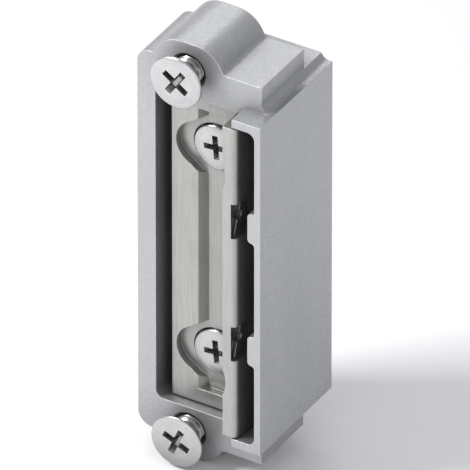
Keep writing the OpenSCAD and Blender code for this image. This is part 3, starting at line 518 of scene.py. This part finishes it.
def cross_shape(place, r, turn):
    """Tapered cross recess with a pointed middle, opening at the origin of place. Its sizes are
    shares of the head's radius r."""
    def ring(half, wide, tip_depth, depth):
        corners = []
        for quarter in range(4):
            spin = Matrix.Rotation(math.radians(90 * quarter + turn), 4, "Z")
            for x, y, s in ((half, -wide, tip_depth), (half, wide, tip_depth), (wide, wide, depth)):
                corners.append(place @ (spin @ Vector((x, y, s))))
        return corners
    above, tip = -0.1 * r, 0.52 * r
    top = ring(0.60 * r, 0.145 * r, above, above)
    low = ring(0.40 * r, 0.075 * r, 0.30 * r, 0.42 * r)
    verts = top + low + [place @ Vector((0, 0, tip))]
    faces = [tuple(range(12))]
    faces += [(k, (k + 1) % 12, 12 + (k + 1) % 12, 12 + k) for k in range(12)]
    for quarter in range(4):
        a = 12 + 3 * quarter
        before = 12 + (3 * quarter - 1) % 12
        faces += [(a, a + 1, a + 2, before), (before, a + 2, 24)]
    return verts, faces


def dress(piece, node):
    """Let a piece stand for its CAD node."""
    if "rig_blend" not in piece:
        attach(piece, body_of_node[node])
    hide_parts(node)
    return piece


def steps(a, b, step):
    count = max(1, round((b - a) / step))
    return [a + (b - a) * i / count for i in range(count + 1)]


def cross_screw(node, face, axis, head, thread, length, turn, sides=48, material=None):
    """Screw with a cross recess. face is the middle of its head, head lists (distance, radius)
    from the face to the shank, turn is the recess's angle in degrees, and material is used
    in place of the finish of the node's slot."""
    rings_per_turn, point = 8, 0.8
    stop = length - point * thread.pitch
    profile = head + [(s, thread.radius)
                      for s in steps(thread.start, stop, thread.pitch / rings_per_turn)]
    profile += [(length, thread.radius - point * thread.depth)]
    place = axis_place(face, axis)
    cut = (thread.start, stop, thread.pitch, thread.depth)
    body = skin(turned_rings(profile, place, sides, cut))
    piece = make(node + "_turned", [body], [material or finish[slot_of[node]]])
    face_r = head[2][1]
    cut_away(piece, *cross_shape(place, face_r, turn))
    return dress(piece, node)


def head_rim(r, chamfer, rim):
    """Flat screw face of radius r with a broken edge, down to the lower end of its rim."""
    return [(0, 0.5 * r), (0, r - chamfer), (0.35 * chamfer, r - 0.3 * chamfer), (chamfer, r),
            (max(rim, 1.2 * chamfer), r)]


lo, hi = box_mm("fixing_screw_top")
faced = turned_metal("faced_fixing_screw", SCREW_COLOR, 0.26, outer=True,
                     centre=(0, (lo.z + hi.z) / 2))
for node, turn in (("fixing_screw_top", 35), ("fixing_screw_bottom", 23)):
    lo, hi = box_mm(node)
    r = hi.x
    head = head_rim(r, chamfer=0.2, rim=0.35) + [(2.35, 2.45)]
    thread = Thread(start=2.45, radius=2.45, pitch=0.8, depth=0.42)
    cross_screw(node, (0, lo.y, (lo.z + hi.z) / 2), (0, 1, 0), head, thread, hi.y - lo.y, turn,
                material=faced)

lo, hi = box_mm("adjusting_screw_top")
faced = turned_metal("faced_adjusting_screw", SCREW_COLOR, 0.26, outer=True,
                     centre=(hi.x - (hi.z - lo.z) / 2, (lo.z + hi.z) / 2))
for node in ("adjusting_screw_top", "adjusting_screw_bottom"):
    lo, hi = box_mm(node)
    r = (hi.z - lo.z) / 2
    head = head_rim(r, chamfer=0.22, rim=1.2) + [(1.2, 2.4), (1.25, 1.98)]
    thread = Thread(start=1.3, radius=1.98, pitch=0.7, depth=0.3)
    cross_screw(node, (hi.x - r, lo.y, (lo.z + hi.z) / 2), (0, 1, 0), head, thread, hi.y - lo.y,
                turn=-5, material=faced)

SMALL_SIDES = 32
for i in range(1, 5):
    node = f"back_plate_screw_{i}"
    lo, hi = box_mm(node)
    centre = (lo + hi) / 2
    head = head_rim(1.75, chamfer=0.08, rim=0.1) + [(0.77, 0.98)]
    thread = Thread(start=0.85, radius=0.98, pitch=0.4, depth=0.18)
    cross_screw(node, (centre.x, hi.y, (lo.z + hi.z) / 2), (0, -1, 0), head, thread,
                hi.y - lo.y, turn=20, sides=SMALL_SIDES)

for node in ("yoke_screw_upper", "yoke_screw_lower"):
    lo, hi = box_mm(node)
    centre = (lo + hi) / 2
    head = head_rim(2.28, chamfer=0.08, rim=0.1) + [(1.05, 1.23)]
    thread = Thread(start=1.1, radius=1.23, pitch=0.45, depth=0.22)
    cross_screw(node, (lo.x, centre.y, centre.z), (1, 0, 0), head, thread, hi.x - lo.x, turn=12,
                sides=SMALL_SIDES)

for node in ("terminal_screw_a", "terminal_screw_b"):
    lo, hi = box_mm(node)
    middle = (lo + hi) / 2
    place = axis_place((lo.x, middle.y, middle.z), (1, 0, 0))
    length = hi.x - lo.x
    thread = Thread(start=1.4, radius=0.98, pitch=0.4, depth=0.16)
    ring_step = 0.05
    profile = [(0, 0.8), (0, 1.5), (0.1, 1.64), (0.25, 1.7), (1.35, 1.7), (1.35, 1.1),
               (1.36, thread.radius)]
    profile += [(s, thread.radius) for s in steps(thread.start, length - 2 * ring_step, ring_step)]
    profile += [(length, 0.8)]
    cut = (thread.start, length - ring_step, thread.pitch, thread.depth)
    body = skin(turned_rings(profile, place, SMALL_SIDES, cut))
    piece = make(node + "_turned", [body], [finish[slot_of[node]]])
    slot_box = [place @ Vector((x, y, s)) for s in (-0.2, 0.6) for y in (-2, 2)
                for x in (-0.25, 0.25)]
    cut_away(piece, slot_box, [(0, 1, 3, 2), (4, 6, 7, 5), (0, 4, 5, 1), (2, 3, 7, 6),
                               (0, 2, 6, 4), (1, 5, 7, 3)])
    dress(piece, node)


def helix(turns, radius, rise, per_turn=28):
    """Points of a helix about +Z from the origin."""
    count = round(turns * per_turn)
    return [Vector((radius * math.cos(math.tau * turns * i / count),
                    radius * math.sin(math.tau * turns * i / count), rise * i / count))
            for i in range(count + 1)]


PIVOT = Vector((11.5, 6.2, 0))
WIRE_R = 0.2
WIRE_SIDES = 10
COIL_LOW, COIL_HIGH = -4.5, 4.75
coil = [Vector((PIVOT.x + p.x, PIVOT.y - p.y, p.z + COIL_LOW))
        for p in helix(turns=9.25, radius=1.55, rise=COIL_HIGH - COIL_LOW)]
wall_leg = [(x, y, COIL_LOW) for x, y in ((13.55, 10.8), (13.55, 9.6), (13.55, 8.4), (13.45, 7.6),
                                          (13.17, 6.9))]
carrier_leg = [(x, y, COIL_HIGH) for x, y in ((10.8, 4.67), (10.1, 4.8), (9.3, 4.95),
                                              (7.9, 4.95), (6.6, 4.95), (5.3, 4.95))]
wire = skin(tube_rings(wall_leg + coil[1:] + carrier_leg, WIRE_R, WIRE_SIDES))
keeper_spring = make("keeper_spring_wire", [wire], [finish["spring"]], WIRE_CREASE)
# The coil twists evenly from its leg on the wall to its leg on the carrier.
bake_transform(keeper_spring, "body", "keeper", start=(PIVOT + Vector((0, 0, -4.4))) * MM,
         end=(PIVOT + Vector((0, 0, 4.7))) * MM)
dress(keeper_spring, "keeper_spring")

place = axis_place((2.25, 11.7, 15.4), (1, 0, 0))
points = [place @ p for p in helix(turns=5, radius=1.3, rise=4.55)]
wire = skin(tube_rings(points, WIRE_R, WIRE_SIDES))
pawl_spring = make("pawl_spring_wire", [wire], [finish["spring"]], WIRE_CREASE)
dress(pawl_spring, "pawl_spring")
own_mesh(pawl_spring)

ARMATURE_WIRE_R = 0.15
place = axis_place((9, 11.7, -6.698), (0, 0, 1))
points = [place @ p for p in helix(turns=3, radius=1.2, rise=2.277)]
wire = skin(tube_rings(points, ARMATURE_WIRE_R, WIRE_SIDES))
armature_spring = make("armature_spring_wire", [wire], [finish["spring"]], WIRE_CREASE)
dress(armature_spring, "armature_spring")
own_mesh(armature_spring)

# The winding: one wire's crest after another, closed on the inside by the bobbin's tube.
TURNS, RIDGE, WINDING_SIDES = 52, 4, 40
TUBE_R = 2.9
lo, hi = box_mm("coil_winding")
pitch = (hi.z - lo.z) / TURNS
outer = (hi.x - lo.x) / 2
profile = [(0, TUBE_R), (0, outer - pitch / 2)]
for i in range(TURNS):
    for k in range(1, RIDGE + 1):
        a = math.pi * k / RIDGE
        profile.append((pitch * (i + (1 - math.cos(a)) / 2), outer - pitch / 2 * (1 - math.sin(a))))
profile += [(hi.z - lo.z, TUBE_R)]
place = axis_place(((lo.x + hi.x) / 2, (lo.y + hi.y) / 2, lo.z), (0, 0, 1))
rings = turned_rings(profile, place, WINDING_SIDES)
verts = [v for ring in rings for v in ring]
faces = []
for i in range(len(rings)):
    for k in range(WINDING_SIDES):
        here, after = i * WINDING_SIDES, (i + 1) % len(rings) * WINDING_SIDES
        side = (k + 1) % WINDING_SIDES
        faces.append((here + k, here + side, after + side, after + k))
dress(make("wound_coil", [(verts, faces)], [finish["copper"]], 50), "coil_winding")

# The two coil leads, each a gentle bow from the bobbin up to the terminals.
LEAD_R, LEAD_SIDES, LEAD_STEPS = 0.38, 16, 40
LEAD_Y, LEAD_LOW, LEAD_HIGH = 15.6, -6.148, 13.55
for node, x, bow in (("lead_wire_a", 1.8, 0.5), ("lead_wire_b", 0.3, -0.3)):
    path = []
    for i in range(LEAD_STEPS + 1):
        t = i / LEAD_STEPS
        z = LEAD_LOW + (LEAD_HIGH - LEAD_LOW) * t
        path.append((x + bow * math.sin(math.pi * t), LEAD_Y, z))
    sleeve = skin(tube_rings(path, LEAD_R, LEAD_SIDES))
    dress(make(node + "_sleeve", [sleeve], [finish["insulation"]], WIRE_CREASE), node)

# ---- Floor, lights and camera ----


def plane(name, corners, material):
    """Flat four-sided piece of the stage, corners in millimetres."""
    mesh = bpy.data.meshes.new(name)
    mesh.from_pydata([Vector(c) * MM for c in corners], [], [(0, 1, 2, 3)])
    mesh.materials.append(material)
    thing = bpy.data.objects.new(name, mesh)
    bpy.context.scene.collection.objects.link(thing)
    thing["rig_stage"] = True


paper = Shader("pale_floor", (0.86, 0.86, 0.865), 0, 0.7)
soft = paper.noise((0.004, 0.004, 0.004), detail=2)
paper.set("Base Color", paper.tint(soft, (0.85, 0.85, 0.855), (0.87, 0.87, 0.872)))
floor_z = cad_lo.z / MM
FLOOR_HALF = 3000
corners = ((-1, -1), (1, -1), (1, 1), (-1, 1))
plane("floor", [(FLOOR_HALF * x, FLOOR_HALF * y, floor_z) for x, y in corners], paper.mat)


def area_light(name, place, target, size, watts):
    """Rectangular light at place that looks at target, all in millimetres."""
    data = bpy.data.lights.new(name, "AREA")
    data.shape = "RECTANGLE"
    data.size, data.size_y = (s * MM for s in size)
    data.energy = watts
    lamp = bpy.data.objects.new(name, data)
    bpy.context.scene.collection.objects.link(lamp)
    lamp.location = Vector(place) * MM
    aim = (Vector(target) - Vector(place)).to_track_quat("-Z", "Y")
    lamp.rotation_euler = aim.to_euler()


STRIKE_MIDDLE = (3, 5, 0)
area_light("key", (-320, -260, 380), STRIKE_MIDDLE, size=(160, 160), watts=3.0)
area_light("fill", (420, -160, 160), STRIKE_MIDDLE, size=(300, 300), watts=0.35)
area_light("top", (-160, 330, 330), STRIKE_MIDDLE, size=(220, 160), watts=0.3)
area_light("front", (60, -480, 60), STRIKE_MIDDLE, size=(240, 320), watts=0.5)

world = bpy.data.worlds.new("studio")
bpy.context.scene.world = world
world.use_nodes = True
background = world.node_tree.nodes["Background"]
background.inputs["Color"].default_value = (0.96, 0.97, 1.0, 1)
background.inputs["Strength"].default_value = 0.55

AZIMUTH, ELEVATION = 31.0, 34.5
LENS, SENSOR = 1500.0, 36.0
VIEW_WIDTH = 71.2
AIM = Vector((7.056, 2.521))  # the picture's middle, right and up of the origin's image
turn, tilt = math.radians(AZIMUTH), math.radians(ELEVATION)
right = Vector((math.cos(turn), math.sin(turn), 0))
back = Vector((math.sin(turn) * math.cos(tilt), -math.cos(turn) * math.cos(tilt), math.sin(tilt)))
up = back.cross(right)
camera_data = bpy.data.cameras.new("camera")
camera_data.lens = LENS
camera_data.sensor_width = SENSOR
camera = bpy.data.objects.new("camera", camera_data)
bpy.context.scene.collection.objects.link(camera)
distance = VIEW_WIDTH * LENS / SENSOR
camera.location = (right * AIM.x + up * AIM.y + back * distance) * MM
camera.rotation_mode = "QUATERNION"
camera.rotation_quaternion = back.to_track_quat("Z", "Y")
camera_data.clip_start = 0.1
camera_data.clip_end = 10
bpy.context.scene.camera = camera
bpy.context.scene.view_settings.view_transform = "Standard"

lo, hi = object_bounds()
